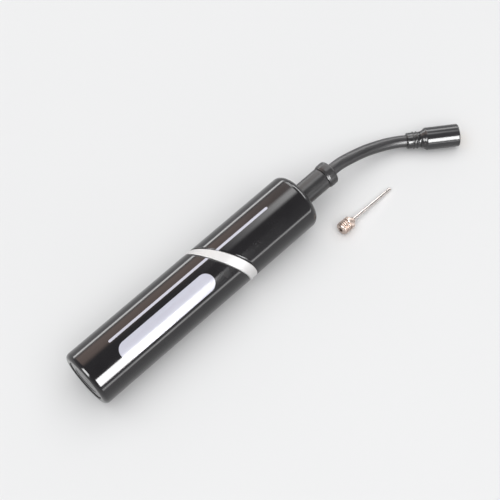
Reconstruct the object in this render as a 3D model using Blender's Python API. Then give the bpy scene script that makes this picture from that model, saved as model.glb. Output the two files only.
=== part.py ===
"""Hand pump for inflating balls, lying on its side with its loose needle beside it.

The handle sleeve slides off the barrel along -X and draws the piston back. The pressed air
leaves through a check valve in the head, a stem, a short hose and a threaded connector.

World frame: +X along the pump towards the hose, +Z up, floor at Z = 0. The origin is on the
floor under the middle of the body. Every turned piece is drawn along its own X axis.
"""
import math

import bmesh
import bpy
from mathutils import Vector

MM = 0.001
GAP = 0.3 * MM                  # between pieces that touch or run in each other

# Body
BODY_RADIUS = 18.0 * MM
BODY_INNER_RADIUS = 16.0 * MM
HANDLE_END_X = -83.0 * MM
HEAD_END_X = 84.0 * MM
HANDLE_END_FILLET = 3.0 * MM
HEAD_SHOULDER_FILLET = 5.0 * MM
STROKE = 80.0 * MM

# The two slanted seams beside the trim ring: X on the axis, then X per unit of Y and of Z
HEAD_SEAM = (22.1 * MM, -0.62, -0.02)
HANDLE_SEAM = (18.1 * MM, -0.53, -0.175)
SEAM_GAP = 0.4 * MM

# Barrel, rod and piston
BARREL_RADIUS = 13.5 * MM
BORE_RADIUS = 11.5 * MM
BARREL_BACK_X = -68.4 * MM
BARREL_FRONT_X = 57.7 * MM
ROD_RADIUS = 4.0 * MM
BUMPER_BACK_X = -42.0 * MM
BUMPER_LENGTH = 3.0 * MM
PISTON_BACK_X = BUMPER_BACK_X + BUMPER_LENGTH + GAP + STROKE
PISTON_LENGTH = 10.2 * MM

# Check valve, stem and collar
VALVE_SEAT_X = 60.0 * MM
VALVE_CHAMBER_RADIUS = 4.2 * MM
STEM_THREAD_RADIUS = 5.2 * MM
STEM_BACK_X = 72.0 * MM
STEM_RADIUS = 7.1 * MM
STEM_END_X = 103.2 * MM
COLLAR_RADIUS = 7.75 * MM
COLLAR_X = 103.5 * MM
COLLAR_END_X = 110.0 * MM
AIRWAY_RADIUS = 1.6 * MM

# Hose and connector
HOSE_RADIUS = 3.75 * MM
HOSE_ROUTE = [
    (0.1103, 0.0, 0.0180), (0.1145, 0.0, 0.0178), (0.1201, -0.00025, 0.0169),
    (0.1277, -0.00115, 0.0150), (0.1377, -0.0028, 0.0123), (0.1479, -0.0057, 0.0096),
    (0.1550, -0.0086, 0.0081), (0.1600, -0.0113, 0.0073), (0.1632, -0.01345, 0.0070),
]
HOSE_STEPS = 2                  # tube points for each stretch of the route
CONNECTOR_RADIUS = 7.0 * MM
CONNECTOR_BACK = Vector((163.45, -13.65, 7.0)) * MM
CONNECTOR_TURN = math.radians(-35.43)
CONNECTOR_LENGTH = 32.7 * MM
SOCKET_RADIUS = 4.25 * MM
SOCKET_DEPTH = 11.0 * MM

# Needle
HUB_RADIUS = 4.0 * MM
HUB_LENGTH = 8.4 * MM
NEEDLE_LENGTH = 43.6 * MM
NEEDLE_RADIUS = 1.1 * MM
NEEDLE_FRONT = Vector((100.8, -28.2, 0.0)) * MM   # floor point under the hub's front edge

# Sides of the round pieces
SHELL_SIDES = 64
LARGE_SIDES = 32
SMALL_SIDES = 18
FINE_SIDES = 12


# ---------------------------------------------------------------- scene helpers

def clear_scene():
    for obj in list(bpy.data.objects):
        bpy.data.objects.remove(obj, do_unlink=True)


def make_material(name, color, roughness, metallic=0.0):
    material = bpy.data.materials.new(name)
    material.use_nodes = True
    shader = material.node_tree.nodes["Principled BSDF"]
    shader.inputs["Base Color"].default_value = (*color, 1.0)
    shader.inputs["Roughness"].default_value = roughness
    shader.inputs["Metallic"].default_value = metallic
    material.diffuse_color = (*color, 1.0)
    return material


FINISHES = {
    "gloss_black": ((0.012, 0.012, 0.014), 0.18, 0.0),
    "ring_silver": ((0.78, 0.77, 0.76), 0.22, 1.0),
    "dark_grey": ((0.055, 0.053, 0.056), 0.35, 0.0),
    "hose_rubber": ((0.045, 0.043, 0.045), 0.55, 0.0),
    "black_rubber": ((0.02, 0.02, 0.02), 0.7, 0.0),
    "aluminium": ((0.75, 0.76, 0.78), 0.3, 1.0),
    "steel": ((0.6, 0.6, 0.6), 0.25, 1.0),
    "brass": ((0.72, 0.52, 0.25), 0.3, 1.0),
    "nylon": ((0.82, 0.8, 0.74), 0.5, 0.0),
    "nickel": ((0.68, 0.63, 0.58), 0.25, 1.0),
}


def make_axis(name, location, turn=(0.0, 0.0, 0.0)):
    axis = bpy.data.objects.new(name, None)
    bpy.context.collection.objects.link(axis)
    axis.location = location
    axis.rotation_euler = turn
    return axis


def add_object(name, data, finish, axis):
    obj = bpy.data.objects.new(name, data)
    bpy.context.collection.objects.link(obj)
    obj.parent = axis
    data.materials.append(make_material(name, *FINISHES[finish]))
    return obj


def arc(center_x, center_r, radius, start, end, steps):
    """Profile points on an arc, with angles in degrees from +X towards +radius."""
    angles = [math.radians(start + (end - start) * i / steps) for i in range(steps + 1)]
    return [(center_x + radius * math.cos(a), center_r + radius * math.sin(a)) for a in angles]


def turned_mesh(name, profile, sides):
    """A piece turned about X from (x, radius) points; a radius of 0 closes it on the axis.

    A point given as (x, radius, seam) is moved along X onto that seam's slope. The sides
    touch the given radius at their middles, so one flat side faces straight down.
    """
    bm = bmesh.new()
    reach = 1.0 / math.cos(math.pi / sides)
    rings = []
    for x, radius, *slope in profile:
        lean_y, lean_z = slope[0][1:] if slope else (0.0, 0.0)
        if radius == 0:
            rings.append([bm.verts.new((x, 0, 0))])
            continue
        ring = []
        for i in range(sides):
            angle = 2 * math.pi * (i + 0.5) / sides - math.pi / 2
            y = radius * reach * math.cos(angle)
            z = radius * reach * math.sin(angle)
            ring.append(bm.verts.new((x + lean_y * y + lean_z * z, y, z)))
        rings.append(ring)
    pairs = list(zip(rings, rings[1:]))
    if profile[0][1] != 0:
        pairs.append((rings[-1], rings[0]))
    for first, second in pairs:
        for i in range(sides):
            j = (i + 1) % sides
            corners = [first[i % len(first)], first[j % len(first)],
                       second[j % len(second)], second[i % len(second)]]
            bm.faces.new(list(dict.fromkeys(corners)))
    bmesh.ops.recalc_face_normals(bm, faces=bm.faces)
    mesh = bpy.data.meshes.new(name)
    bm.to_mesh(mesh)
    bm.free()
    mesh.shade_smooth()
    mesh.set_sharp_from_angle(angle=math.radians(30))
    return mesh


def turned(name, profile, sides, finish, axis):
    return add_object(name, turned_mesh(name, profile, sides), finish, axis)


def o_ring(name, x, radius, thickness, sides, finish, axis):
    """A ring of round section whose middle circle has the given radius."""
    return turned(name, arc(x, radius, thickness / 2, 0, 300, 5), sides, finish, axis)


def round_tube(name, points, radius, resolution, finish, axis=None):
    """A solid tube of round section along the points, with flat ends."""
    curve = bpy.data.curves.new(name, "CURVE")
    curve.dimensions = "3D"
    curve.bevel_depth = radius
    curve.bevel_resolution = resolution
    curve.use_fill_caps = True
    spline = curve.splines.new("POLY")
    spline.points.add(len(points) - 1)
    for point, place in zip(spline.points, points):
        point.co = (*place, 1.0)
    return add_object(name, curve, finish, axis)


def smooth_route(route, steps):
    """Points on the smooth curve through the route's own points."""
    knots = [Vector(p) for p in route]
    knots = [2 * knots[0] - knots[1]] + knots + [2 * knots[-1] - knots[-2]]
    points = []
    for a, b, c, d in zip(knots, knots[1:], knots[2:], knots[3:]):
        for i in range(steps):
            t = i / steps
            points.append(0.5 * (2 * b + (c - a) * t + (2 * a - 5 * b + 4 * c - d) * t ** 2
                                 + (3 * b - a - 3 * c + d) * t ** 3))
    return points + [knots[-2]]


def on_seam(seam, offset, radius):
    """A profile point on a slanted seam, offset along X from it."""
    return (seam[0] + offset, radius, seam)


# ---------------------------------------------------------------- body and head

def build_head_shell(axis):
    fillet = HEAD_SHOULDER_FILLET
    front_wall_x = HEAD_END_X - 3.5 * MM
    neck_hole = STEM_RADIUS + GAP
    profile = [on_seam(HEAD_SEAM, GAP, BODY_RADIUS)]
    profile += arc(HEAD_END_X - fillet, BODY_RADIUS - fillet, fillet, 90, 0, 5)
    profile += [
        (HEAD_END_X, neck_hole),
        (front_wall_x, neck_hole),
        (front_wall_x, BODY_INNER_RADIUS),
        on_seam(HEAD_SEAM, GAP, BODY_INNER_RADIUS),
    ]
    turned("head_shell", profile, SHELL_SIDES, "gloss_black", axis)


def build_trim_ring(axis):
    lip_radius = BODY_INNER_RADIUS - GAP
    inner_radius = BARREL_RADIUS + 0.7 * MM
    profile = [
        on_seam(HANDLE_SEAM, 0, BODY_RADIUS),
        on_seam(HEAD_SEAM, 0, BODY_RADIUS),
        on_seam(HEAD_SEAM, 0, lip_radius),
        on_seam(HEAD_SEAM, 4 * MM, lip_radius),
        on_seam(HEAD_SEAM, 4 * MM, inner_radius),
        on_seam(HANDLE_SEAM, 0, inner_radius),
    ]
    turned("trim_ring", profile, SHELL_SIDES, "ring_silver", axis)


def build_barrel(axis):
    turned("barrel_tube", [
        (BARREL_BACK_X, BARREL_RADIUS), (BARREL_FRONT_X, BARREL_RADIUS),
        (BARREL_FRONT_X, BORE_RADIUS), (BARREL_BACK_X, BORE_RADIUS),
    ], LARGE_SIDES, "aluminium", axis)

    support_x = 41.5 * MM
    support_length = 5 * MM
    turned("barrel_support_ring", [
        (support_x, BODY_INNER_RADIUS - GAP), (support_x + support_length, BODY_INNER_RADIUS - GAP),
        (support_x + support_length, BARREL_RADIUS + GAP), (support_x, BARREL_RADIUS + GAP),
    ], LARGE_SIDES, "nylon", axis)


def build_guide(axis):
    """The cap on the barrel's back end, whose long spigot carries the rod's bush."""
    flange_back = BARREL_BACK_X - 5.3 * MM
    flange_front = BARREL_BACK_X - GAP
    spigot_end = BUMPER_BACK_X - GAP
    rod_hole = ROD_RADIUS + GAP
    flange_radius = BODY_INNER_RADIUS - GAP
    chamfer = 1 * MM
    bush_pocket = 6.3 * MM
    bush_depth = 12 * MM
    turned("barrel_guide_cap", [
        (flange_back, flange_radius - chamfer),
        (flange_back + chamfer, flange_radius),
        (flange_front, flange_radius),
        (flange_front, BORE_RADIUS - GAP),
        (spigot_end, BORE_RADIUS - GAP),
        (spigot_end, rod_hole),
        (flange_back + bush_depth + GAP, rod_hole),
        (flange_back + bush_depth + GAP, bush_pocket),
        (flange_back, bush_pocket),
    ], LARGE_SIDES, "dark_grey", axis)

    turned("rod_bush", [
        (flange_back + 0.4 * MM, bush_pocket - GAP), (flange_back + bush_depth, bush_pocket - GAP),
        (flange_back + bush_depth, rod_hole), (flange_back + 0.4 * MM, rod_hole),
    ], SMALL_SIDES, "nylon", axis)

    bumper_radius = BORE_RADIUS - 0.5 * MM
    bumper_hole = 5.2 * MM
    bumper_front = BUMPER_BACK_X + BUMPER_LENGTH
    turned("stroke_bumper", [
        (BUMPER_BACK_X, bumper_radius),
        (bumper_front - 0.8 * MM, bumper_radius),
        (bumper_front, bumper_radius - 1.1 * MM),
        (bumper_front, bumper_hole),
        (BUMPER_BACK_X, bumper_hole),
    ], SMALL_SIDES, "black_rubber", axis)


def build_valve(axis):
    """The head's valve block, its seal and the sprung check valve inside it."""
    spigot_back = 53.0 * MM
    flange_back = BARREL_FRONT_X + GAP
    flange_front = flange_back + 6 * MM
    block_front = 80.2 * MM
    block_radius = 11 * MM
    thread_hole = STEM_THREAD_RADIUS + GAP
    groove_back = 54.2 * MM
    groove_front = 56.2 * MM
    groove_radius = 9.6 * MM
    chamber_front = STEM_BACK_X - GAP
    turned("valve_body", [
        (spigot_back, BORE_RADIUS - GAP),
        (groove_back, BORE_RADIUS - GAP),
        (groove_back, groove_radius),
        (groove_front, groove_radius),
        (groove_front, BORE_RADIUS - GAP),
        (flange_back, BORE_RADIUS - GAP),
        (flange_back, BODY_INNER_RADIUS - GAP),
        (flange_front, BODY_INNER_RADIUS - GAP),
        (flange_front, block_radius),
        (block_front, block_radius),
        (block_front, thread_hole),
        (chamber_front, thread_hole),
        (chamber_front, VALVE_CHAMBER_RADIUS),
        (VALVE_SEAT_X, VALVE_CHAMBER_RADIUS),
        (VALVE_SEAT_X, AIRWAY_RADIUS),
        (spigot_back, AIRWAY_RADIUS),
    ], LARGE_SIDES, "dark_grey", axis)

    seal_thickness = 1.2 * MM
    seal_radius = groove_radius + GAP + seal_thickness / 2 + 0.05 * MM
    o_ring("barrel_o_ring", (groove_back + groove_front) / 2, seal_radius, seal_thickness,
           SMALL_SIDES, "black_rubber", axis)

    disc_back = VALVE_SEAT_X + GAP
    disc_front = disc_back + 2 * MM
    disc_radius = 3.4 * MM
    disc_chamfer = 0.5 * MM
    guide_radius = 1.2 * MM
    guide_front = disc_front + 3.4 * MM
    turned("check_valve_poppet", [
        (disc_back, 0), (disc_back, disc_radius - disc_chamfer),
        (disc_back + disc_chamfer, disc_radius),
        (disc_front, disc_radius), (disc_front, guide_radius), (guide_front, guide_radius),
        (guide_front, 0),
    ], SMALL_SIDES, "nylon", axis)

    wire_radius = 0.35 * MM
    coil_radius = 2.6 * MM
    coil_back = disc_front + GAP + wire_radius
    coil_front = STEM_BACK_X - GAP - wire_radius
    turns = 5
    steps = turns * FINE_SIDES
    coil = []
    for i in range(steps + 1):
        angle = 2 * math.pi * i / FINE_SIDES
        x = coil_back + (coil_front - coil_back) * i / steps
        coil.append((x, coil_radius * math.cos(angle), coil_radius * math.sin(angle)))
    round_tube("check_valve_spring", coil, wire_radius, 1, "steel", axis)


def build_stem(axis):
    """The outlet stem screwed into the valve block, its seal, nipple and hose collar."""
    shoulder = 80.5 * MM
    groove_back = 76.6 * MM
    groove_front = 78.2 * MM
    groove_radius = 3.9 * MM
    pocket_back = 99 * MM
    pocket_radius = 3.0 * MM
    nipple_thread_end = 107.0 * MM
    nipple_thread_radius = 5.0 * MM
    turned("outlet_stem", [
        (STEM_BACK_X, STEM_THREAD_RADIUS),
        (groove_back, STEM_THREAD_RADIUS),
        (groove_back, groove_radius),
        (groove_front, groove_radius),
        (groove_front, STEM_THREAD_RADIUS),
        (shoulder, STEM_THREAD_RADIUS),
        (shoulder, STEM_RADIUS),
        (STEM_END_X - 0.4 * MM, STEM_RADIUS),
        (STEM_END_X, STEM_RADIUS - 0.4 * MM),
        (STEM_END_X, nipple_thread_radius),
        (nipple_thread_end, nipple_thread_radius),
        (nipple_thread_end, pocket_radius),
        (pocket_back, pocket_radius),
        (pocket_back, AIRWAY_RADIUS),
        (STEM_BACK_X, AIRWAY_RADIUS),
    ], LARGE_SIDES, "dark_grey", axis)

    o_ring("stem_o_ring", (groove_back + groove_front) / 2, 4.7 * MM, 1.0 * MM,
           SMALL_SIDES, "black_rubber", axis)

    nipple_radius = pocket_radius - GAP
    ridge = 0.25 * MM
    turned("hose_nipple", [
        (pocket_back + GAP, nipple_radius),
        (107.6 * MM, nipple_radius),
        (108.0 * MM, nipple_radius - ridge),
        (108.8 * MM, nipple_radius),
        (109.2 * MM, nipple_radius - ridge),
        (109.8 * MM, nipple_radius - ridge),
        (109.8 * MM, 1.3 * MM),
        (pocket_back + GAP, 1.3 * MM),
    ], SMALL_SIDES, "brass", axis)

    edge = 1.25 * MM
    profile = [(COLLAR_X, COLLAR_RADIUS - 0.4 * MM), (COLLAR_X + 0.4 * MM, COLLAR_RADIUS)]
    profile += arc(COLLAR_END_X - edge, COLLAR_RADIUS - edge, edge, 90, 0, 3)
    profile += [
        (COLLAR_END_X, pocket_radius),
        (nipple_thread_end + GAP, pocket_radius),
        (nipple_thread_end + GAP, nipple_thread_radius + GAP),
        (COLLAR_X, nipple_thread_radius + GAP),
    ]
    turned("hose_collar", profile, LARGE_SIDES, "dark_grey", axis)


# ---------------------------------------------------------------- handle and piston

def build_handle(axis):
    fillet = HANDLE_END_FILLET
    cap_hole = 13.2 * MM
    lip_back = HANDLE_END_X + 2.8 * MM
    lip_front = lip_back + 1.5 * MM
    profile = [on_seam(HANDLE_SEAM, -SEAM_GAP, BODY_RADIUS)]
    profile += arc(HANDLE_END_X + fillet, BODY_RADIUS - fillet, fillet, 90, 180, 5)
    profile += [
        (HANDLE_END_X, cap_hole),
        (lip_back, cap_hole),
        (lip_back, cap_hole - 1.3 * MM),
        (lip_front, cap_hole - 1.3 * MM),
        (lip_front, BODY_INNER_RADIUS),
        on_seam(HANDLE_SEAM, -SEAM_GAP, BODY_INNER_RADIUS),
    ]
    turned("handle_sleeve", profile, SHELL_SIDES, "gloss_black", axis)


def build_end_cap(axis, pin_cutter):
    face = HANDLE_END_X + 0.4 * MM
    back = HANDLE_END_X + 2.5 * MM
    skirt_end = back + 3.5 * MM
    boss_end = HANDLE_END_X + 8.4 * MM
    cap_radius = 12.9 * MM
    chamfer = 0.5 * MM
    skirt_outside = 11.6 * MM
    skirt_inside = 10.2 * MM
    boss_radius = 7.5 * MM
    rod_pocket = ROD_RADIUS + GAP
    cap = turned("handle_end_cap", [
        (face, 0),
        (face, cap_radius - chamfer),
        (face + chamfer, cap_radius),
        (back, cap_radius),
        (back, skirt_outside),
        (skirt_end, skirt_outside),
        (skirt_end, skirt_inside),
        (back, skirt_inside),
        (back, boss_radius),
        (boss_end, boss_radius),
        (boss_end, rod_pocket),
        (back, rod_pocket),
        (back, 0),
    ], LARGE_SIDES, "gloss_black", axis)
    cut(cap, pin_cutter)


def build_rod(axis, pin_cutter):
    rod_back = HANDLE_END_X + 2.8 * MM
    rod_front = PISTON_BACK_X + 5.4 * MM
    thread_hole = 1.9 * MM
    thread_depth = 9 * MM
    rod = turned("piston_rod", [
        (rod_back, 0),
        (rod_back, ROD_RADIUS),
        (rod_front, ROD_RADIUS),
        (rod_front, thread_hole),
        (rod_front - thread_depth, thread_hole),
        (rod_front - thread_depth, 0),
    ], SMALL_SIDES, "steel", axis)
    cut(rod, pin_cutter)


def cut(obj, cutter):
    boolean = obj.modifiers.new("cross_hole", "BOOLEAN")
    boolean.operation = "DIFFERENCE"
    boolean.object = cutter


def build_rod_pin(axis):
    """The cross pin that holds the rod in the end cap, and the cutter for its hole."""
    pin_x = HANDLE_END_X + 5.5 * MM
    pin_radius = 1.0 * MM
    pin_half = 7.1 * MM
    upright = (0, math.radians(-90), 0)
    pin = turned("rod_pin", [
        (-pin_half, 0), (-pin_half, pin_radius), (pin_half, pin_radius), (pin_half, 0),
    ], FINE_SIDES, "steel", axis)
    cutter = turned("pin_cutter", [
        (-2 * pin_half, 0), (-2 * pin_half, pin_radius + GAP),
        (2 * pin_half, pin_radius + GAP), (2 * pin_half, 0),
    ], FINE_SIDES, "steel", axis)
    for obj in (pin, cutter):
        obj.location = (pin_x, 0, 0)
        obj.rotation_euler = upright
    cutter.hide_render = True
    cutter.display_type = "WIRE"
    return cutter


def build_piston(axis):
    back = PISTON_BACK_X
    front = back + PISTON_LENGTH
    radius = BORE_RADIUS - 0.4 * MM
    groove_back = back + 3.2 * MM
    groove_front = back + 6.6 * MM
    groove_radius = 8.4 * MM
    rod_pocket = ROD_RADIUS + GAP
    pocket_front = back + 5.7 * MM
    screw_seat = front - 2.2 * MM
    screw_hole = 1.9 * MM
    turned("piston_head", [
        (back, radius - 0.6 * MM),
        (back + 0.6 * MM, radius),
        (groove_back, radius),
        (groove_back, groove_radius),
        (groove_front, groove_radius),
        (groove_front, radius),
        (front, radius),
        (front, rod_pocket),
        (screw_seat, rod_pocket),
        (screw_seat, screw_hole),
        (pocket_front, screw_hole),
        (pocket_front, rod_pocket),
        (back, rod_pocket),
    ], LARGE_SIDES, "nylon", axis)

    o_ring("piston_seal", (groove_back + groove_front) / 2, 9.95 * MM, 2.4 * MM,
           LARGE_SIDES, "black_rubber", axis)

    head_back = screw_seat + GAP
    turned("piston_screw", [
        (head_back - 9 * MM, 0),
        (head_back - 9 * MM, screw_hole - GAP),
        (head_back, screw_hole - GAP),
        (head_back, 3.6 * MM),
        (head_back + 1.0 * MM, 3.6 * MM),
        (head_back + 1.6 * MM, 2.4 * MM),
        (head_back + 1.6 * MM, 0),
    ], SMALL_SIDES, "steel", axis)


# ---------------------------------------------------------------- hose and connector

def build_hose():
    round_tube("hose", smooth_route(HOSE_ROUTE, HOSE_STEPS), HOSE_RADIUS, 4, "hose_rubber")


def build_connector(axis):
    """The hose's crimp sleeve and the connector that the needle screws into."""
    sleeve_front = 8.2 * MM
    sleeve_radius = 5.0 * MM
    rib = 0.35 * MM
    sleeve_bore = 2.2 * MM
    profile = [(0, sleeve_radius - 0.5 * MM), (0.5 * MM, sleeve_radius)]
    for rib_x in (3.6 * MM, 5.8 * MM):
        profile += [
            (rib_x, sleeve_radius), (rib_x + 0.3 * MM, sleeve_radius + rib),
            (rib_x + 1.0 * MM, sleeve_radius + rib), (rib_x + 1.3 * MM, sleeve_radius),
        ]
    profile += [(sleeve_front, sleeve_radius), (sleeve_front, sleeve_bore), (0, sleeve_bore)]
    turned("hose_crimp_sleeve", profile, SMALL_SIDES, "dark_grey", axis)

    body_back = sleeve_front + GAP
    cone_front = 12.6 * MM
    front = CONNECTOR_LENGTH
    edge = 0.8 * MM
    bore = SOCKET_RADIUS + 1.25 * MM
    bore_floor = front - 13 * MM
    turned("connector_body", [
        (body_back, 5.2 * MM),
        (body_back + 1.2 * MM, 5.6 * MM),
        (cone_front - 0.8 * MM, 6.8 * MM),
        (cone_front, CONNECTOR_RADIUS),
        (front - edge, CONNECTOR_RADIUS),
        (front - 0.25 * MM, CONNECTOR_RADIUS - 0.3 * MM),
        (front, CONNECTOR_RADIUS - edge),
        (front, bore),
        (bore_floor, bore),
        (bore_floor, AIRWAY_RADIUS),
        (body_back, AIRWAY_RADIUS),
    ], LARGE_SIDES, "dark_grey", axis)

    insert_front = front - 0.4 * MM
    insert_back = front - SOCKET_DEPTH
    insert_radius = bore - GAP
    turned("connector_insert", [
        (insert_back, insert_radius),
        (insert_front, insert_radius),
        (insert_front, SOCKET_RADIUS + 0.4 * MM),
        (insert_front - 0.4 * MM, SOCKET_RADIUS),
        (insert_back, SOCKET_RADIUS),
    ], SMALL_SIDES, "brass", axis)

    turned("connector_gasket", [
        (bore_floor + GAP, insert_radius), (insert_back - GAP, insert_radius),
        (insert_back - GAP, AIRWAY_RADIUS), (bore_floor + GAP, AIRWAY_RADIUS),
    ], SMALL_SIDES, "black_rubber", axis)


# ---------------------------------------------------------------- needle

def build_needle(axis):
    """The loose ball needle; its axis object stands at the middle of the hub's front edge."""
    root_radius = HUB_RADIUS - 0.55 * MM
    threads = 4
    pitch = 1.2 * MM
    thread_start = -HUB_LENGTH + 0.5 * MM
    bore = NEEDLE_RADIUS + GAP
    profile = [(-HUB_LENGTH, root_radius)]
    for i in range(threads):
        x = thread_start + i * pitch
        profile += [(x, root_radius), (x + 0.45 * pitch, HUB_RADIUS),
                    (x + 0.6 * pitch, HUB_RADIUS)]
    groove_end = thread_start + threads * pitch + 0.3 * MM
    profile += [
        (groove_end - 0.3 * MM, root_radius),
        (groove_end, root_radius),
        (groove_end, HUB_RADIUS),
        (0, HUB_RADIUS),
        (1.6 * MM, 2.1 * MM),
        (2.4 * MM, 1.9 * MM),
        (2.4 * MM, bore),
        (-HUB_LENGTH, bore),
    ]
    turned("needle_hub", profile, SMALL_SIDES, "nickel", axis)

    tip = NEEDLE_LENGTH - HUB_LENGTH
    tube_back = -HUB_LENGTH + 2 * MM
    bore_end = tip - 3 * MM
    profile = arc(tip - NEEDLE_RADIUS, 0, NEEDLE_RADIUS, 0, 90, 3)
    profile[0] = (tip, 0)
    profile += [
        (tube_back, NEEDLE_RADIUS), (tube_back, 0.6 * MM), (bore_end, 0.6 * MM), (bore_end, 0),
    ]
    turned("needle_tube", profile, FINE_SIDES, "nickel", axis)


def needle_tilt():
    """The tilt at which both the hub's front edge and the tube's tip rest on the floor."""
    reach = NEEDLE_LENGTH - HUB_LENGTH - NEEDLE_RADIUS
    return math.atan2(HUB_RADIUS - NEEDLE_RADIUS, reach)


def main():
    clear_scene()
    root_axis = make_axis("pump_axis", (0, 0, BODY_RADIUS))
    handle_axis = make_axis("handle_slide_axis", (0, 0, BODY_RADIUS))
    build_head_shell(root_axis)
    build_trim_ring(root_axis)
    build_barrel(root_axis)
    build_guide(root_axis)
    build_valve(root_axis)
    build_stem(root_axis)

    build_handle(handle_axis)
    pin_cutter = build_rod_pin(handle_axis)
    build_end_cap(handle_axis, pin_cutter)
    build_rod(handle_axis, pin_cutter)
    build_piston(handle_axis)

    build_hose()
    build_connector(make_axis("connector_axis", CONNECTOR_BACK, (0, 0, CONNECTOR_TURN)))

    tilt = needle_tilt()
    hub_front = NEEDLE_FRONT + Vector((0, 0, HUB_RADIUS * math.cos(tilt)))
    build_needle(make_axis("needle_axis", hub_front, (0, tilt, 0)))
    bpy.context.view_layer.update()


main()
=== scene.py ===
import math

import bmesh
import bpy
from mathutils import Matrix, Vector


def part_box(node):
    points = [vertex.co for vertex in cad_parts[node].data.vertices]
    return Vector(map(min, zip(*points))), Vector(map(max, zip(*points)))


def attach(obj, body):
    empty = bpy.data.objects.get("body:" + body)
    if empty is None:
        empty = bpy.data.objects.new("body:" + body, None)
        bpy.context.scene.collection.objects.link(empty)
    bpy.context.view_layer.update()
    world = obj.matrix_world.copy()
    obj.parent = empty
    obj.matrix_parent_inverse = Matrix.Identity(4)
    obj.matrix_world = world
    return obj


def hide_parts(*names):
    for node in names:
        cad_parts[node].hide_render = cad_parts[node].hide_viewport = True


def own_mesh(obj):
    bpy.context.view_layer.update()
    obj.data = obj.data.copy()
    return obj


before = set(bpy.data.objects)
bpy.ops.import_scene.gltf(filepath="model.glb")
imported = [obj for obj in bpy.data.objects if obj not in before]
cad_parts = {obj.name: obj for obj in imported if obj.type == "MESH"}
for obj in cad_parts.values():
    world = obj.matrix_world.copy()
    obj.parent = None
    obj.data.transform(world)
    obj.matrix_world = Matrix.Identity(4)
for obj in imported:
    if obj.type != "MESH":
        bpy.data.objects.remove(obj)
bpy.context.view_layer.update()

MM = 0.001


def span(node, side):
    """The lowest and highest value of a CAD node along one side (0, 1 or 2 for X, Y or Z)."""
    low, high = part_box(node)
    return low[side], high[side]


def radius_of(node):
    """Half a round node's height."""
    low, high = span(node, 2)
    return (high - low) / 2


# ---------------------------------------------------------------- sizes from the frame

AXIS_Z = sum(span("handle_sleeve", 2)) / 2
BODY_RADIUS = radius_of("handle_sleeve")
WALL = 2.0 * MM
SHOULDER_WALL = 3.5 * MM
BODY_BORE = BODY_RADIUS - WALL
HANDLE_END = span("handle_sleeve", 0)[0]
HEAD_END = span("head_shell", 0)[1]
BARREL_RADIUS = radius_of("barrel_tube")
BARREL_BORE = BARREL_RADIUS - WALL
GAP = 0.3 * MM
AIR_BORE = 1.6 * MM             # radius of the air way in the stem and the connector

# The two slanted seams beside the trim ring: X on the axis, then X per unit of Y and of Z
HEAD_SEAM = (22.1 * MM, -0.62, -0.02)
HANDLE_SEAM = (18.1 * MM, -0.53, -0.175)
SEAM_GAP = 0.4 * MM

# The hose's route is the one that the CAD hose follows
HOSE_ROUTE = [
    (0.1103, 0.0, 0.0180), (0.1145, 0.0, 0.0178), (0.1201, -0.00025, 0.0169),
    (0.1277, -0.00115, 0.0150), (0.1377, -0.0028, 0.0123), (0.1479, -0.0057, 0.0096),
    (0.1550, -0.0086, 0.0081), (0.1600, -0.0113, 0.0073), (0.1632, -0.01345, 0.0070),
]
HOSE_DIAMETER = 7.5 * MM
HOSE_TUCK = 2.0 * MM            # how far the hose goes into its collar and its crimp sleeve

CONNECTOR_PLACE = Vector((163.45, -13.65, 7.0)) * MM
CONNECTOR_TURN = math.radians(-35.43)
CONNECTOR_LENGTH = 32.7 * MM
CONNECTOR_RADIUS = radius_of("connector_body")
SOCKET_RADIUS = 4.25 * MM

HUB_RADIUS = 4.0 * MM
HUB_LENGTH = 8.4 * MM
NEEDLE_LENGTH = 43.6 * MM
NEEDLE_RADIUS = 1.1 * MM
NEEDLE_FRONT = Vector((100.8, -28.2, 0.0)) * MM
NEEDLE_TILT = math.atan2(HUB_RADIUS - NEEDLE_RADIUS, NEEDLE_LENGTH - HUB_LENGTH - NEEDLE_RADIUS)


# ---------------------------------------------------------------- node helpers

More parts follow.
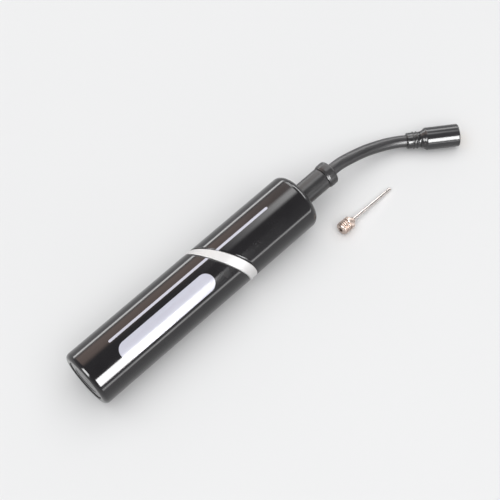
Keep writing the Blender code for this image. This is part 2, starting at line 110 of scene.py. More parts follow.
class Nodes:
    """Short ways to add and link the nodes of one tree."""

    def __init__(self, tree):
        self.tree = tree

    def add(self, kind, **settings):
        node = self.tree.nodes.new(kind)
        for key, value in settings.items():
            setattr(node, key, value)
        return node

    def feed(self, socket, value):
        if isinstance(value, bpy.types.NodeSocket):
            self.tree.links.new(value, socket)
        elif value is not None:
            socket.default_value = value

    def math(self, operation, a, b=None, c=None, clamp=False):
        node = self.add("ShaderNodeMath", operation=operation, use_clamp=clamp)
        for socket, value in zip(node.inputs, (a, b, c)):
            self.feed(socket, value)
        return node.outputs[0]

    def map_range(self, value, from_low, from_high, to_low, to_high, smooth=False):
        node = self.add("ShaderNodeMapRange")
        node.interpolation_type = "SMOOTHSTEP" if smooth else "LINEAR"
        for socket, part in zip(node.inputs, (value, from_low, from_high, to_low, to_high)):
            self.feed(socket, part)
        return node.outputs[0]

    def stretch(self, vector, scale):
        node = self.add("ShaderNodeVectorMath", operation="MULTIPLY")
        self.feed(node.inputs[0], vector)
        self.feed(node.inputs[1], scale)
        return node.outputs[0]

    def noise(self, vector, scale, detail=2.0, roughness=0.5):
        node = self.add("ShaderNodeTexNoise")
        for name, value in (("Vector", vector), ("Scale", scale), ("Detail", detail),
                            ("Roughness", roughness)):
            self.feed(node.inputs[name], value)
        return node.outputs["Fac"]

    def split(self, vector):
        node = self.add("ShaderNodeSeparateXYZ")
        self.feed(node.inputs[0], vector)
        return node.outputs

    def join(self, x, y, z):
        node = self.add("ShaderNodeCombineXYZ")
        for socket, value in zip(node.inputs, (x, y, z)):
            self.feed(socket, value)
        return node.outputs[0]

    def blend_color(self, factor, first, second):
        node = self.add("ShaderNodeMix", data_type="RGBA")
        self.feed(node.inputs["Factor"], factor)
        for name, value in (("A", first), ("B", second)):
            socket = next(s for s in node.inputs if s.name == name and s.type == "RGBA")
            self.feed(socket, value)
        return next(s for s in node.outputs if s.type == "RGBA")


def group_of(name, inputs, outputs):
    """An empty shader node group, its inside nodes, and its input and output sockets by name."""
    tree = bpy.data.node_groups.new(name, "ShaderNodeTree")
    for label, kind, value in inputs:
        socket = tree.interface.new_socket(label, in_out="INPUT", socket_type=kind)
        if value is not None:
            socket.default_value = value
    for label, kind in outputs:
        tree.interface.new_socket(label, in_out="OUTPUT", socket_type=kind)
    inside = Nodes(tree)
    entry = inside.add("NodeGroupInput")
    leave = inside.add("NodeGroupOutput")
    return tree, inside, entry.outputs, leave.inputs


FLOAT = "NodeSocketFloat"
VECTOR = "NodeSocketVector"


def make_moulded_group():
    """Handled plastic: soft smudges, lengthwise hairlines and a fine moulded grain."""
    tree, inside, given, made = group_of(
        "moulded_surface",
        [("Vector", VECTOR, None), ("Roughness", FLOAT, 0.2), ("Smudge", FLOAT, 0.05),
         ("Hairline", FLOAT, 0.1), ("Grain", FLOAT, 0.1)],
        [("Tone", FLOAT), ("Roughness", FLOAT), ("Height", FLOAT)],
    )
    smudge = inside.noise(given["Vector"], 55.0, 3.0, 0.6)
    streaks = inside.noise(inside.stretch(given["Vector"], (45.0, 1600.0, 1600.0)), 1.0, 2.0)
    hairline = inside.map_range(streaks, 0.66, 0.74, 0.0, 1.0)
    grain = inside.noise(given["Vector"], 2600.0, 1.0)
    wavy = inside.noise(given["Vector"], 140.0, 1.0)
    rough = inside.math("MULTIPLY_ADD", inside.math("SUBTRACT", smudge, 0.45), given["Smudge"],
                        given["Roughness"])
    rough = inside.math("MULTIPLY_ADD", hairline, given["Hairline"], rough, clamp=True)
    height = inside.math("MULTIPLY_ADD", grain, given["Grain"], inside.math("MULTIPLY", wavy, 0.6))
    height = inside.math("MULTIPLY_ADD", hairline, -0.15, height)
    inside.feed(made["Tone"], inside.map_range(smudge, 0.3, 0.7, 0.0, 1.0))
    inside.feed(made["Roughness"], rough)
    inside.feed(made["Height"], height)
    return tree


def make_turned_group():
    """Lathe-turned metal: fine rings round the piece's X axis, with uneven polish."""
    tree, inside, given, made = group_of(
        "turned_metal",
        [("Vector", VECTOR, None), ("Rings", FLOAT, 3500.0), ("Roughness", FLOAT, 0.25),
         ("Spread", FLOAT, 0.15)],
        [("Tone", FLOAT), ("Roughness", FLOAT), ("Height", FLOAT)],
    )
    parts = inside.split(given["Vector"])
    along = inside.math("MULTIPLY", parts["X"], given["Rings"])
    across = inside.join(along, inside.math("MULTIPLY", parts["Y"], 40.0),
                         inside.math("MULTIPLY", parts["Z"], 40.0))
    rings = inside.noise(across, 1.0, 2.0, 0.6)
    cloud = inside.noise(given["Vector"], 120.0, 2.0)
    rough = inside.math("MULTIPLY_ADD", inside.math("SUBTRACT", rings, 0.5), given["Spread"],
                        given["Roughness"])
    rough = inside.math("MULTIPLY_ADD", inside.math("SUBTRACT", cloud, 0.5), 0.12, rough,
                        clamp=True)
    inside.feed(made["Tone"], inside.math("MULTIPLY_ADD", rings, 0.5,
                                          inside.math("MULTIPLY", cloud, 0.5)))
    inside.feed(made["Roughness"], rough)
    inside.feed(made["Height"], rings)
    return tree


def make_bar_group():
    """The outline of a lengthwise bar with round ends, printed on a round body."""
    tree, inside, given, made = group_of(
        "printed_bar",
        [("Vector", VECTOR, None), ("Radius", FLOAT, BODY_RADIUS), ("Start", FLOAT, 0.0),
         ("End", FLOAT, 0.01), ("Center", FLOAT, 0.0), ("Half Width", FLOAT, 0.002)],
        [("Mask", FLOAT)],
    )
    parts = inside.split(given["Vector"])
    around = inside.math("MULTIPLY", inside.math("ARCTAN2", parts["Y"], parts["Z"]),
                         given["Radius"])
    middle = inside.math("MULTIPLY", inside.math("ADD", given["Start"], given["End"]), 0.5)
    half = inside.math("MULTIPLY", inside.math("SUBTRACT", given["End"], given["Start"]), 0.5)
    straight = inside.math("SUBTRACT", half, given["Half Width"])
    past = inside.math("SUBTRACT", inside.math("ABSOLUTE",
                       inside.math("SUBTRACT", parts["X"], middle)), straight)
    past = inside.math("MAXIMUM", past, 0.0)
    aside = inside.math("SUBTRACT", around, given["Center"])
    away = inside.math("SQRT", inside.math("ADD", inside.math("MULTIPLY", past, past),
                                           inside.math("MULTIPLY", aside, aside)))
    edge = inside.math("SUBTRACT", away, given["Half Width"])
    inside.feed(made["Mask"], inside.map_range(edge, -0.05 * MM, 0.05 * MM, 1.0, 0.0, True))
    return tree


MOULDED = make_moulded_group()
TURNED = make_turned_group()
BAR = make_bar_group()


class Material(Nodes):
    """A material with its Principled shader, object coordinates and node helpers."""

    def __init__(self, name, metallic=0.0, **sockets):
        self.data = bpy.data.materials.new(name)
        self.data.use_nodes = True
        super().__init__(self.data.node_tree)
        self.shader = self.tree.nodes["Principled BSDF"]
        self.shader.inputs["Metallic"].default_value = metallic
        for label, value in sockets.items():
            self.shader.inputs[label.replace("_", " ")].default_value = value
        self.place = self.add("ShaderNodeTexCoord").outputs["Object"]

    def group(self, tree, **values):
        node = self.add("ShaderNodeGroup")
        node.node_tree = tree
        self.feed(node.inputs["Vector"], self.place)
        for label, value in values.items():
            self.feed(node.inputs[label.replace("_", " ")], value)
        return node.outputs

    def set_color(self, value):
        self.feed(self.shader.inputs["Base Color"], value)

    def set_roughness(self, value):
        self.feed(self.shader.inputs["Roughness"], value)

    def bump(self, height, distance, strength=1.0):
        node = self.add("ShaderNodeBump")
        node.inputs["Strength"].default_value = strength
        node.inputs["Distance"].default_value = distance
        self.feed(node.inputs["Height"], height)
        self.feed(self.shader.inputs["Normal"], node.outputs["Normal"])


# ---------------------------------------------------------------- materials

BLACK = (0.0115, 0.0105, 0.0118, 1)
BLACK_SMUDGED = (0.0160, 0.0148, 0.0162, 1)
INK_LIGHT = (0.60, 0.60, 0.68, 1)
INK_DARK = (0.54, 0.54, 0.62, 1)


def gloss_black(name, bars):
    """Polished black plastic, with lengthwise bars printed on it in a pale ink."""
    made = Material(name, IOR=1.5)
    surface = made.group(MOULDED, Roughness=0.10, Smudge=0.10, Hairline=0.05, Grain=0.05)
    mask = None
    for start, end, center, half_width in bars:
        bar = made.group(BAR, Start=start, End=end, Center=center, Half_Width=half_width)["Mask"]
        mask = bar if mask is None else made.math("MAXIMUM", mask, bar)
    color = made.blend_color(surface["Tone"], BLACK, BLACK_SMUDGED)
    rough = surface["Roughness"]
    if mask is not None:
        ink = made.blend_color(surface["Tone"], INK_LIGHT, INK_DARK)
        color = made.blend_color(mask, color, ink)
        rough = made.math("MULTIPLY_ADD", mask, 0.12, rough)
    made.set_color(color)
    made.set_roughness(rough)
    made.bump(surface["Height"], 0.012 * MM)
    return made.data


def satin_plastic(name, dark, light, roughness):
    """Dark grey moulded plastic with a satin shine."""
    made = Material(name, IOR=1.5)
    surface = made.group(MOULDED, Roughness=roughness, Smudge=0.10, Hairline=0.08, Grain=0.3)
    made.set_color(made.blend_color(surface["Tone"], dark, light))
    made.set_roughness(surface["Roughness"])
    made.bump(surface["Height"], 0.02 * MM)
    return made.data


def soft_rubber(name, dark, light, roughness, sheen):
    """Smooth or matt rubber with a faint sheen and a fine moulded grain."""
    made = Material(name, IOR=1.52, Sheen_Weight=sheen, Sheen_Roughness=0.5)
    surface = made.group(MOULDED, Roughness=roughness, Smudge=0.25, Hairline=0.12, Grain=1.0)
    made.set_color(made.blend_color(surface["Tone"], dark, light))
    made.set_roughness(surface["Roughness"])
    made.bump(surface["Height"], 0.03 * MM)
    return made.data


def turned_metal(name, dark, light, roughness, spread, rings, depth, metallic=1.0):
    """Metal or metal-coloured lacquer with fine turning rings, spread in their polish."""
    made = Material(name, metallic=metallic)
    surface = made.group(TURNED, Rings=rings, Roughness=roughness, Spread=spread)
    made.set_color(made.blend_color(surface["Tone"], dark, light))
    made.set_roughness(surface["Roughness"])
    made.bump(surface["Height"], depth)
    return made.data


def milky_nylon(name):
    """Natural nylon, slightly see-through."""
    made = Material(name, IOR=1.53, Subsurface_Weight=0.25, Subsurface_Scale=0.004)
    surface = made.group(MOULDED, Roughness=0.45, Smudge=0.15, Hairline=0.05, Grain=0.8)
    made.set_color(made.blend_color(surface["Tone"], (0.74, 0.71, 0.63, 1), (0.84, 0.82, 0.76, 1)))
    made.set_roughness(surface["Roughness"])
    made.bump(surface["Height"], 0.03 * MM)
    return made.data


# Printed bars: first and last X, middle and half width round the body
WIDE_BAR = (-61 * MM, 8 * MM, -8.2 * MM, 5.8 * MM)
THIN_BAR = (-61 * MM, 60 * MM, 2.6 * MM, 0.8 * MM)

FINISH = {
    "handle": gloss_black("handle_gloss_black", [WIDE_BAR, THIN_BAR]),
    "head": gloss_black("head_gloss_black", [THIN_BAR]),
    "cap": gloss_black("cap_gloss_black", []),
    "silver": turned_metal("ring_silver", (0.60, 0.59, 0.585, 1), (0.66, 0.65, 0.64, 1), 0.55,
                           0.08, 2500.0, 0.004 * MM, metallic=0.12),
    "grey": satin_plastic("stem_dark_grey", (0.020, 0.019, 0.020, 1), (0.029, 0.028, 0.029, 1),
                          0.3),
    "connector": satin_plastic("connector_dark_grey", (0.022, 0.0215, 0.023, 1),
                               (0.032, 0.031, 0.033, 1), 0.14),
    "hose": soft_rubber("hose_rubber", (0.017, 0.016, 0.0175, 1), (0.026, 0.0245, 0.0265, 1),
                        0.32, 0.03),
    "seal": soft_rubber("seal_rubber", (0.012, 0.012, 0.012, 1), (0.025, 0.024, 0.024, 1),
                        0.6, 0.1),
    "aluminium": turned_metal("barrel_aluminium", (0.52, 0.53, 0.55, 1), (0.57, 0.58, 0.60, 1),
                              0.34, 0.03, 1400.0, 0.0005 * MM),
    "steel": turned_metal("rod_steel", (0.50, 0.50, 0.50, 1), (0.64, 0.64, 0.65, 1), 0.22, 0.15,
                          2500.0, 0.003 * MM),
    "brass": turned_metal("machined_brass", (0.62, 0.42, 0.18, 1), (0.80, 0.58, 0.28, 1), 0.25,
                          0.2, 3000.0, 0.006 * MM),
    "hub": turned_metal("hub_nickel", (0.40, 0.32, 0.28, 1), (0.56, 0.47, 0.42, 1), 0.36, 0.06,
                        3500.0, 0.004 * MM),
    "tube": turned_metal("needle_nickel", (0.46, 0.42, 0.40, 1), (0.60, 0.56, 0.54, 1), 0.26, 0.06,
                         3500.0, 0.002 * MM),
    "nylon": milky_nylon("milky_nylon"),
}


# ---------------------------------------------------------------- mesh helpers

SHARP_ANGLE = math.radians(38)


def arc(center_x, center_r, radius, start, end, steps=6):
    """Profile points on an arc, with angles in degrees from +X towards +radius."""
    angles = [math.radians(start + (end - start) * i / steps) for i in range(steps + 1)]
    return [(center_x + radius * math.cos(a), center_r + radius * math.sin(a)) for a in angles]


def rounded(profile, radius, steps=3):
    """The profile with each of its sharp corners turned into a small arc, where there is room."""
    made = []
    count = len(profile)
    for i, point in enumerate(profile):
        before, after = profile[i - 1], profile[(i + 1) % count]
        here = Vector(point[:2])
        to_before, to_after = Vector(before[:2]) - here, Vector(after[:2]) - here
        room = min(to_before.length, to_after.length) * 0.45
        on_axis = point[1] == 0
        if on_axis or room < 1e-6 or to_before.angle(to_after, 0) > math.radians(150):
            made.append(point)
            continue
        size = min(radius, room)
        first = here + to_before.normalized() * size
        last = here + to_after.normalized() * size
        for k in range(steps + 1):
            t = k / steps
            spot = first * (1 - t) ** 2 + here * 2 * t * (1 - t) + last * t ** 2
            made.append((spot.x, spot.y, *point[2:]))
    return made


def turned(name, profile, sides=128, radius_at=None):
    """A smooth piece turned about its own X axis from (x, radius) points.

    A point given as (x, radius, seam) follows that seam's slope. radius_at(x, angle, radius)
    may change the radius round the piece, as a thread does.
    """
    bm = bmesh.new()
    rings = []
    for x, radius, *slope in profile:
        lean_y, lean_z = slope[0][1:] if slope else (0.0, 0.0)
        if radius == 0:
            rings.append([bm.verts.new((x, 0, 0))])
            continue
        ring = []
        for i in range(sides):
            angle = 2 * math.pi * i / sides
            here = radius_at(x, angle, radius) if radius_at else radius
            y, z = here * math.cos(angle), here * math.sin(angle)
            ring.append(bm.verts.new((x + lean_y * y + lean_z * z, y, z)))
        rings.append(ring)
    pairs = list(zip(rings, rings[1:]))
    if profile[0][1] != 0:
        pairs.append((rings[-1], rings[0]))
    for first, second in pairs:
        for i in range(sides):
            j = (i + 1) % sides
            corners = [first[i % len(first)], first[j % len(first)],
                       second[j % len(second)], second[i % len(second)]]
            bm.faces.new(list(dict.fromkeys(corners)))
    bmesh.ops.recalc_face_normals(bm, faces=bm.faces)
    mesh = bpy.data.meshes.new(name)
    bm.to_mesh(mesh)
    bm.free()
    mesh.shade_smooth()
    mesh.set_sharp_from_angle(angle=SHARP_ANGLE)
    return mesh


def settle(obj, *helpers):
    """The object's finished mesh; the object and its helpers are removed."""
    bpy.context.view_layer.update()
    done = obj.evaluated_get(bpy.context.evaluated_depsgraph_get())
    mesh = bpy.data.meshes.new_from_object(done)
    for used in (obj, *helpers):
        bpy.data.objects.remove(used)
    mesh.shade_smooth()
    mesh.set_sharp_from_angle(angle=SHARP_ANGLE)
    return mesh


def add_object(name, data):
    """A new object with this data, linked into the scene."""
    obj = bpy.data.objects.new(name, data)
    bpy.context.scene.collection.objects.link(obj)
    return obj


def drilled(mesh, center, radius, depth):
    """The mesh with a round hole drilled down into it from above."""
    bm = bmesh.new()
    bmesh.ops.create_cone(bm, cap_ends=True, segments=24, radius1=radius, radius2=radius,
                          depth=2 * depth, matrix=Matrix.Translation(center))
    drill_mesh = bpy.data.meshes.new("drill")
    bm.to_mesh(drill_mesh)
    bm.free()
    work = add_object(mesh.name, mesh)
    drill = add_object("drill", drill_mesh)
    cut = work.modifiers.new("hole", "BOOLEAN")
    cut.solver = "EXACT"
    cut.object = drill
    return settle(work, drill)


def tube_curve(name, points, radius, resolution):
    """A round tube along the points, as a curve with filled ends."""
    curve = bpy.data.curves.new(name, "CURVE")
    curve.dimensions = "3D"
    curve.bevel_depth = radius
    curve.bevel_resolution = resolution
    curve.use_fill_caps = True
    spline = curve.splines.new("POLY")
    spline.points.add(len(points) - 1)
    for knot, place in zip(spline.points, points):
        knot.co = (*place, 1.0)
    spline.use_smooth = True
    return curve


PUMP_PLACE = Matrix.Translation((0, 0, AXIS_Z))
CONNECTOR_MATRIX = Matrix.Translation(CONNECTOR_PLACE) @ Matrix.Rotation(CONNECTOR_TURN, 4, "Z")
NEEDLE_RISE = Vector((0, 0, HUB_RADIUS * math.cos(NEEDLE_TILT)))
NEEDLE_MATRIX = (Matrix.Translation(NEEDLE_FRONT + NEEDLE_RISE)
                 @ Matrix.Rotation(NEEDLE_TILT, 4, "Y"))


def add_piece(name, data, finish, body, nodes, place=PUMP_PLACE):
    """Puts a piece in the scene, on its body, in place of its CAD nodes."""
    obj = add_object(name, data)
    data.materials.append(FINISH[finish])
    obj.matrix_world = place
    if obj.type == "MESH":
        even = obj.modifiers.new("even_shading", "WEIGHTED_NORMAL")
        even.keep_sharp = True
    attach(obj, body)
    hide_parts(*nodes)
    return obj


def on_seam(seam, offset, radius):
    """A profile point on a slanted seam, offset along X from it."""
    return (seam[0] + offset, radius, seam)


def seam_edge(seam, offset, direction, radius, size, steps=4):
    """A rounded outer edge beside a seam, from the outer skin to the seam's face."""
    points = []
    for i in range(steps + 1):
        a = math.pi / 2 * i / steps
        inward = size * (1 - math.cos(a))
        back = size * (1 - math.sin(a))
        points.append(on_seam(seam, offset + direction * back, radius - inward))
    return points


# ---------------------------------------------------------------- handle and head

def make_handle_sleeve():
    fillet = 3.0 * MM
    cap_hole = 13.2 * MM
    lip_back = HANDLE_END + 2.8 * MM
    lip_front = lip_back + 1.5 * MM
    outer = seam_edge(HANDLE_SEAM, -SEAM_GAP, -1, BODY_RADIUS, 0.6 * MM)[::-1]
    outer += arc(HANDLE_END + fillet, BODY_RADIUS - fillet, fillet, 90, 180, 14)
    inner = [
        (HANDLE_END, cap_hole + 0.4 * MM), (HANDLE_END + 0.4 * MM, cap_hole),
        (lip_back, cap_hole), (lip_back, cap_hole - 1.3 * MM),
        (lip_front, cap_hole - 1.3 * MM), (lip_front, BODY_BORE),
        on_seam(HANDLE_SEAM, -SEAM_GAP, BODY_BORE),
    ]
    add_piece("handle_sleeve_shell", turned("handle_sleeve_shell", outer + inner, 192), "handle",
              "handle", ["handle_sleeve"])


def make_end_cap():
    face = HANDLE_END + 0.4 * MM
    back = HANDLE_END + 2.5 * MM
    boss_end = HANDLE_END + 8.4 * MM
    rod_pocket = 4.3 * MM
    profile = [
        (face + 0.35 * MM, 0), (face + 0.35 * MM, 8.6 * MM), (face + 0.05 * MM, 9.0 * MM),
        (face, 9.3 * MM), (face, 12.3 * MM), (face + 0.2 * MM, 12.75 * MM),
        (face + 0.6 * MM, 12.9 * MM), (back, 12.9 * MM), (back, 11.6 * MM),
        (back + 3.5 * MM, 11.6 * MM), (back + 3.5 * MM, 10.2 * MM), (back, 10.2 * MM),
        (back, 7.5 * MM), (boss_end, 7.5 * MM), (boss_end, rod_pocket), (back, rod_pocket),
        (back, 0),
    ]
    add_piece("handle_end_disc", turned("handle_end_disc", profile), "cap", "handle",
              ["handle_end_cap"])


def make_head_shell():
    fillet = 5.0 * MM
    wall_x = HEAD_END - SHOULDER_WALL
    neck_hole = 7.4 * MM
    outer = seam_edge(HEAD_SEAM, GAP, 1, BODY_RADIUS, 1.0 * MM)[::-1]
    outer += arc(HEAD_END - fillet, BODY_RADIUS - fillet, fillet, 90, 0, 16)
    inner = [
        (HEAD_END, neck_hole + 0.5 * MM), (HEAD_END - 0.5 * MM, neck_hole),
        (wall_x, neck_hole), (wall_x, BODY_BORE), on_seam(HEAD_SEAM, GAP, BODY_BORE),
    ]
    add_piece("head_shell_skin", turned("head_shell_skin", outer + inner, 192), "head",
              "pump_body", ["head_shell"])


def make_trim_ring():
    lip = BODY_BORE - GAP
    bore = BARREL_RADIUS + 0.7 * MM
    profile = seam_edge(HANDLE_SEAM, 0, 1, BODY_RADIUS, 0.5 * MM)[::-1]
    profile += seam_edge(HEAD_SEAM, 0, -1, BODY_RADIUS, 0.5 * MM)
    profile += [
        on_seam(HEAD_SEAM, 0, lip), on_seam(HEAD_SEAM, 4 * MM, lip),
        on_seam(HEAD_SEAM, 4 * MM, bore), on_seam(HANDLE_SEAM, 0, bore),
    ]
    add_piece("trim_ring_band", turned("trim_ring_band", profile, 192), "silver", "pump_body",
              ["trim_ring"])


def make_stem_and_collar():
    shoulder = HEAD_END - SHOULDER_WALL
    plug_radius = 5.2 * MM
    nipple_hole = 3.0 * MM
    nipple_seat = 99 * MM
    stem_low, stem_high = span("outlet_stem", 0)
    stem_end = stem_high - 3.8 * MM
    stem_radius = radius_of("outlet_stem")
    profile = rounded([
        (stem_low, plug_radius), (shoulder, plug_radius), (shoulder, stem_radius),
        (stem_end, stem_radius), (stem_end, 5.0 * MM), (stem_high, 5.0 * MM),
        (stem_high, nipple_hole), (nipple_seat, nipple_hole),
        (nipple_seat, AIR_BORE), (stem_low, AIR_BORE),
    ], 0.5 * MM)
    add_piece("outlet_stem_tube", turned("outlet_stem_tube", profile), "grey", "pump_body",
              ["outlet_stem"])

    low, high = span("hose_collar", 0)
    radius = radius_of("hose_collar")
    hose_hole = HOSE_DIAMETER / 2 + 0.15 * MM
    edge = 1.4 * MM
    cup_bore = 5.3 * MM
    cup_floor = high - 2.7 * MM
    profile = [(low, stem_radius + 0.05 * MM), (low + 0.3 * MM, stem_radius + 0.15 * MM),
               (low + 1.2 * MM, radius - 0.15 * MM), (low + 1.7 * MM, radius)]
    profile += arc(high - edge, radius - edge, edge, 90, 0, 10)
    profile += [
        (high, hose_hole + 0.5 * MM), (high - 0.15 * MM, hose_hole + 0.15 * MM),
        (high - 0.5 * MM, hose_hole), (cup_floor, hose_hole),
        (cup_floor, cup_bore), (low, cup_bore),
    ]
    add_piece("hose_collar_cup", turned("hose_collar_cup", profile), "grey", "pump_body",
              ["hose_collar"])


def make_barrel():
    low, high = span("barrel_tube", 0)
    edge = 0.4 * MM
    profile = [
        (low, BARREL_BORE + edge), (low, BARREL_RADIUS - edge), (low + edge, BARREL_RADIUS),
        (high - edge, BARREL_RADIUS), (high, BARREL_RADIUS - edge), (high, BARREL_BORE + edge),
        (high - edge, BARREL_BORE), (low + edge, BARREL_BORE),
    ]
    add_piece("barrel_drawn_tube", turned("barrel_drawn_tube", profile, 128), "aluminium",
              "pump_body", ["barrel_tube"])


# ---------------------------------------------------------------- hose and connector

def smooth_route(route, steps):
    """Points on the smooth curve through the route's own points."""
    knots = [Vector(p) for p in route]
    knots = [2 * knots[0] - knots[1]] + knots + [2 * knots[-1] - knots[-2]]
    points = []
    for a, b, c, d in zip(knots, knots[1:], knots[2:], knots[3:]):
        for i in range(steps):
            t = i / steps
            points.append(0.5 * (2 * b + (c - a) * t + (2 * a - 5 * b + 4 * c - d) * t ** 2
                                 + (3 * b - a - 3 * c + d) * t ** 3))
    return points + [knots[-2]]


def make_hose():
    points = smooth_route(HOSE_ROUTE, 4)
    start = points[0] + (points[0] - points[1]).normalized() * HOSE_TUCK
    end = points[-1] + (points[-1] - points[-2]).normalized() * HOSE_TUCK
    points = [start] + points + [end]
    hose = add_piece("air_hose", tube_curve("air_hose", points, HOSE_DIAMETER / 2, 12),
                     "hose", "pump_body", ["hose"],
                     Matrix.Identity(4))
    length = sum((b - a).length for a, b in zip(points, points[1:]))
    return hose, start, length


def make_crimp_sleeve():
    radius = 5.0 * MM
    edge = 0.8 * MM
    hose_hole = HOSE_DIAMETER / 2 + 0.1 * MM
    hose_stop = 3.0 * MM
    neck_bore = 2.2 * MM
    sleeve_end = 8.2 * MM
    profile = arc(edge, radius - edge, edge, 180, 90, 6)
    for rib in (3.6 * MM, 5.8 * MM):
        profile += [(rib, radius)]
        profile += arc(rib + 0.65 * MM, radius, 0.42 * MM, 180, 0, 8)[1:-1]
        profile += [(rib + 1.3 * MM, radius)]
    profile += [(sleeve_end, radius), (sleeve_end, neck_bore), (hose_stop, neck_bore),
                (hose_stop, hose_hole), (0, hose_hole)]
    return add_piece("crimp_sleeve_ribbed", turned("crimp_sleeve_ribbed", profile, 96),
                     "connector", "pump_body", ["hose_crimp_sleeve"],
                     CONNECTOR_MATRIX)


def make_connector_body():
    back = 8.5 * MM
    cone_start = back + 0.6 * MM
    cone_end = 12.6 * MM
    neck = 5.2 * MM
    front = CONNECTOR_LENGTH
    bore = SOCKET_RADIUS + 1.25 * MM
    floor = front - 13 * MM
    edge = 0.9 * MM
    profile = [(back, 4.9 * MM), (back + 0.2 * MM, 5.1 * MM)]
    steps = 12
    for i in range(steps + 1):
        t = i / steps
        smooth = t * t * (3 - 2 * t)
        profile.append((cone_start + (cone_end - cone_start) * t,
                        neck + (CONNECTOR_RADIUS - neck) * smooth))
    profile += arc(front - edge, CONNECTOR_RADIUS - edge, edge, 90, 0, 8)
    profile += [(front, bore + 0.2 * MM), (front - 0.2 * MM, bore), (floor, bore),
                (floor, AIR_BORE), (back, AIR_BORE)]
    return add_piece("connector_shell", turned("connector_shell", profile), "connector",
                     "pump_body", ["connector_body"], CONNECTOR_MATRIX)


def make_connector_insert():
    front = CONNECTOR_LENGTH - 0.4 * MM
    back = CONNECTOR_LENGTH - 11 * MM
    outer = SOCKET_RADIUS + 0.95 * MM
    pitch = 1.05 * MM
    depth = 0.45 * MM

    def thread(x, angle, radius):
        if radius > SOCKET_RADIUS + 0.2 * MM:
            return radius
        turn = (x / pitch - angle / (2 * math.pi)) % 1.0
        fade = min(1.0, (front - x) / pitch, (x - back) / pitch)
        return radius - depth * (1 - abs(2 * turn - 1)) * max(0.0, fade)

    profile = [(back, outer), (front - 0.2 * MM, outer), (front, outer - 0.2 * MM),
               (front, SOCKET_RADIUS + 0.55 * MM), (front - 0.5 * MM, SOCKET_RADIUS)]
    rows = 72
    for i in range(1, rows + 1):
        x = front - 0.5 * MM + (back - front + 0.5 * MM) * i / rows
        profile.append((x, SOCKET_RADIUS))
    return add_piece("connector_thread", turned("connector_thread", profile, 72, thread), "brass",
                     "pump_body", ["connector_insert"], CONNECTOR_MATRIX)


def make_connector_gasket():
    back = CONNECTOR_LENGTH - 12.7 * MM
    front = CONNECTOR_LENGTH - 11.3 * MM
    outer = 5.2 * MM
    profile = rounded([(back, outer), (front, outer), (front, AIR_BORE), (back, AIR_BORE)],
                      0.4 * MM)
    return add_piece("connector_washer", turned("connector_washer", profile, 72), "seal",
                     "pump_body", ["connector_gasket"], CONNECTOR_MATRIX)


# ---------------------------------------------------------------- needle

def make_needle():
    root = HUB_RADIUS - 0.55 * MM
    pitch = 1.2 * MM
    thread_end = -HUB_LENGTH + 5.6 * MM
    tube_hole = 1.4 * MM

    def thread(x, angle, radius):
        if x > thread_end or radius < root - 0.1 * MM:
            return radius
        turn = (x / pitch - angle / (2 * math.pi)) % 1.0
        fade = min(1.0, (thread_end - x) / (0.6 * pitch), (x + HUB_LENGTH) / (0.8 * pitch))
        crest = min(1.0, 1.5 * (1 - abs(2 * turn - 1)))
        return radius + (HUB_RADIUS - root) * crest * max(0.0, fade)

    rows = 60
    thread_start = -HUB_LENGTH + 0.3 * MM
    profile = [(-HUB_LENGTH, root - 0.5 * MM), (thread_start, root)]
    for i in range(1, rows + 1):
        x = thread_start + (thread_end - thread_start) * i / rows
        profile.append((x, root))
    flange = thread_end + 0.3 * MM
    profile += [(flange, root), (flange, HUB_RADIUS - 0.25 * MM),
                (flange + 0.25 * MM, HUB_RADIUS), (-0.35 * MM, HUB_RADIUS),
                (-0.1 * MM, HUB_RADIUS - 0.1 * MM), (0, HUB_RADIUS - 0.35 * MM)]
    profile += [(0.5 * MM, 3.0 * MM), (1.0 * MM, 2.4 * MM), (1.6 * MM, 2.05 * MM),
                (2.2 * MM, 1.85 * MM), (2.4 * MM, 1.6 * MM), (2.4 * MM, tube_hole),
                (-HUB_LENGTH, tube_hole)]
    add_piece("needle_hub_threaded", turned("needle_hub_threaded", profile, 96, thread), "hub",
              "needle", ["needle_hub"], NEEDLE_MATRIX)

    tip = NEEDLE_LENGTH - HUB_LENGTH
    tube_back = -HUB_LENGTH + 2 * MM
    tube_bore = 0.6 * MM
    side_hole = 0.45 * MM
    bore_end = tip - 3 * MM
    profile = arc(tip - NEEDLE_RADIUS, 0, NEEDLE_RADIUS, 0, 90, 10)
    profile[0] = (tip, 0)
    profile += [(tube_back, NEEDLE_RADIUS), (tube_back, tube_bore), (bore_end, tube_bore),
                (bore_end, 0)]
    tube = drilled(turned("needle_tube_pierced", profile, 48),
                   (tip - 3.8 * MM, 0, NEEDLE_RADIUS), side_hole, NEEDLE_RADIUS)
    add_piece("needle_tube_pierced", tube, "tube", "needle", ["needle_tube"],
              NEEDLE_MATRIX)


# ---------------------------------------------------------------- valve spring

def make_valve_spring():
    """A coil spring with closed end turns."""
    low, high = span("check_valve_spring", 0)
    wire = 0.35 * MM
    coil = radius_of("check_valve_spring") - wire
    turns = 7
    per_turn = 32
    closed = 2 * wire + 0.05 * MM
    back, front = low + wire, high - wire
    pitch = (front - back - 2 * closed) / (turns - 2)
    points = []
    for i in range(turns * per_turn + 1):
        turn = i / per_turn
        opened = min(max(turn - 1, 0), turns - 2)
        x = back + closed * (min(turn, 1) + max(turn - turns + 1, 0)) + pitch * opened
        angle = 2 * math.pi * turn
        points.append((x, coil * math.cos(angle), coil * math.sin(angle)))
    mesh = settle(add_object("valve_spring_coil",
                                  tube_curve("valve_spring_coil", points, wire, 3)))
    spring = add_piece("valve_spring_coil", mesh, "steel", "pump_body",
                       ["check_valve_spring"])
    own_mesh(spring)


# ---------------------------------------------------------------- inner parts, CAD shapes kept

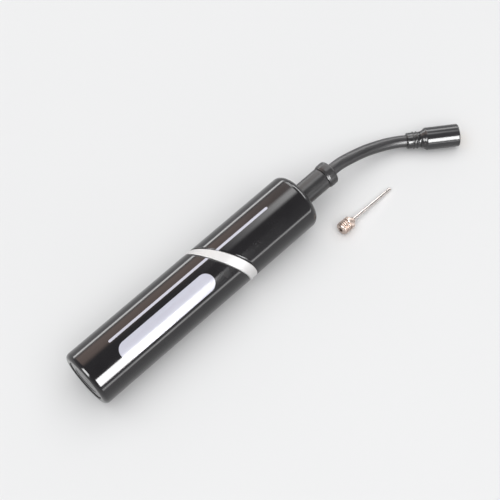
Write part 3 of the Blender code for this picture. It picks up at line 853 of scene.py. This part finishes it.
INNER = {
    "barrel_support_ring": "nylon", "barrel_guide_cap": "grey",
    "rod_bush": "nylon", "stroke_bumper": "seal", "valve_body": "grey", "barrel_o_ring": "seal",
    "check_valve_poppet": "nylon", "stem_o_ring": "seal",
    "hose_nipple": "brass", "piston_rod": "steel", "rod_pin": "steel", "piston_head": "nylon",
    "piston_seal": "seal", "piston_screw": "steel",
}


def dress_inner_parts():
    """Gives each inner CAD node, which keeps its shape, its own finish."""
    for node, finish in INNER.items():
        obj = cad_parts[node]
        obj.data.materials.clear()
        obj.data.materials.append(FINISH[finish])


# ---------------------------------------------------------------- stage, light and camera

CAMERA_PLACE = (-0.1665, -0.2250, 0.7160)
CAMERA_AIM = Vector((0.2710, 0.2897, -0.9180))
CAMERA_LENS = 93.3


def make_floor():
    bpy.ops.mesh.primitive_plane_add(size=8.0, location=(0, 0, 0))
    floor = bpy.context.object
    floor.name = "studio_floor"
    made = Material("floor_paper", IOR=1.45, Specular_IOR_Level=0.0)
    cloud = made.noise(made.place, 3.0, 2.0)
    made.set_color(made.blend_color(cloud, (0.78, 0.78, 0.78, 1), (0.82, 0.82, 0.82, 1)))
    made.set_roughness(made.map_range(cloud, 0.0, 1.0, 0.85, 0.95))
    floor.data.materials.append(made.data)


def add_softbox(name, place, aim, width, height, radiance, color=(1, 1, 1), edge=0.2, roll=0.0):
    """A softbox aimed at a point, bright in the middle and fading over its edges."""
    light = bpy.data.lights.new(name, "AREA")
    light.shape = "RECTANGLE"
    light.size = width
    light.size_y = height
    light.energy = 4 * width * height * radiance
    light.color = color
    light.use_nodes = True
    nodes = Nodes(light.node_tree)
    across = nodes.split(nodes.add("ShaderNodeNewGeometry").outputs["Parametric"])
    glow = None
    for side in (across["X"], across["Y"]):
        for value in (side, nodes.math("SUBTRACT", 1.0, side)):
            fade = nodes.map_range(value, 0.0, edge, 0.0, 1.0, True)
            glow = fade if glow is None else nodes.math("MULTIPLY", glow, fade)
    nodes.feed(light.node_tree.nodes["Emission"].inputs["Strength"], glow)
    obj = add_object(name, light)
    facing = (Vector(aim) - Vector(place)).to_track_quat("-Z", "Y").to_matrix().to_4x4()
    obj.matrix_world = Matrix.Translation(place) @ facing @ Matrix.Rotation(roll, 4, "Z")
    obj.visible_camera = False
    return obj


def add_highlight(name, *args, **settings):
    """A softbox that is seen only as a reflection in glossy surfaces."""
    obj = add_softbox(name, *args, **settings)
    obj.visible_diffuse = False
    return obj


def from_pump(x, tilt, distance):
    """A place at a distance from the pump's axis, tilted from straight up towards +Y."""
    return (x, distance * math.sin(tilt), AXIS_Z + distance * math.cos(tilt))


def make_light():
    """A broad soft room light, softboxes that show as reflections, and pale air."""
    room = add_softbox("room_softbox", (0.0, -0.1, 2.2), (0.05, 0.0, 0.0), 5.0, 5.0, 1.1,
                       edge=0.1)
    room.visible_glossy = False
    over_pump = [
        ("key_softbox", 0.0, -55, 0.72, 0.33, 0.43, 20.0, (1, 1, 1), 0.08, math.radians(-7.6)),
        ("overhead_softbox", 0.43, 18, 0.85, 0.44, 0.66, 4.5, (1, 1, 1), 0.4, 0.0),
        ("warm_reflector", 0.10, 52, 0.90, 0.8, 1.1, 1.3, (1.0, 0.74, 0.62), 0.35, 0.0),
        ("hose_reflector", 0.76, 55, 0.9, 0.8, 0.8, 4.2, (1, 1, 1), 0.25, 0.0),
    ]
    for name, x, tilt, distance, *settings in over_pump:
        add_highlight(name, from_pump(x, math.radians(tilt), distance), (x, 0.0, AXIS_Z),
                      *settings)
    beside_pump = [
        ("far_rim_strip", (0.12, 0.62, 0.075), (0.12, 0.0, 0.06), 0.9, 0.14, 5.5, 0.3),
        ("near_rim_strip", (0.12, -0.50, 0.05), (0.12, 0.0, 0.04), 0.9, 0.09, 3.6, 0.3),
        ("handle_end_softbox", (-0.68, 0.10, 0.46), (-0.08, 0.0, AXIS_Z), 0.46, 0.66, 12.0, 0.2),
        ("head_end_softbox", (0.95, 0.10, 0.38), (0.08, 0.0, AXIS_Z), 1.1, 0.28, 7.0, 0.2),
    ]
    for name, place, aim, width, height, radiance, edge in beside_pump:
        add_highlight(name, place, aim, width, height, radiance, edge=edge)
    world = bpy.data.worlds.new("studio_air")
    bpy.context.scene.world = world
    world.use_nodes = True
    nodes = Nodes(world.node_tree)
    upward = nodes.split(nodes.add("ShaderNodeTexCoord").outputs["Generated"])["Z"]
    background = world.node_tree.nodes["Background"]
    background.inputs["Color"].default_value = (0.97, 0.98, 1.0, 1)
    lighting = nodes.map_range(upward, 0.0, 0.9, 0.6, 0.22)
    seen = nodes.add("ShaderNodeLightPath").outputs["Is Camera Ray"]
    backdrop = nodes.math("MULTIPLY", seen, 0.85)
    nodes.feed(background.inputs["Strength"], nodes.math("MAXIMUM", lighting, backdrop))


def make_camera():
    data = bpy.data.cameras.new("main_camera")
    data.sensor_width = 36.0
    data.lens = CAMERA_LENS
    data.clip_start = 0.01
    camera = add_object("main_camera", data)
    camera.location = CAMERA_PLACE
    camera.rotation_euler = CAMERA_AIM.to_track_quat("-Z", "Y").to_euler()
    bpy.context.scene.camera = camera


# ---------------------------------------------------------------- the scene

make_camera()
hose, hose_start, hose_length = make_hose()
cord_pieces = [make_crimp_sleeve(), make_connector_body(), make_connector_insert(),
               make_connector_gasket()]
make_handle_sleeve()
make_end_cap()
make_head_shell()
make_trim_ring()
make_barrel()
make_stem_and_collar()
make_needle()
make_valve_spring()
dress_inner_parts()
make_floor()
make_light()
bpy.context.scene.view_settings.view_transform = "Standard"
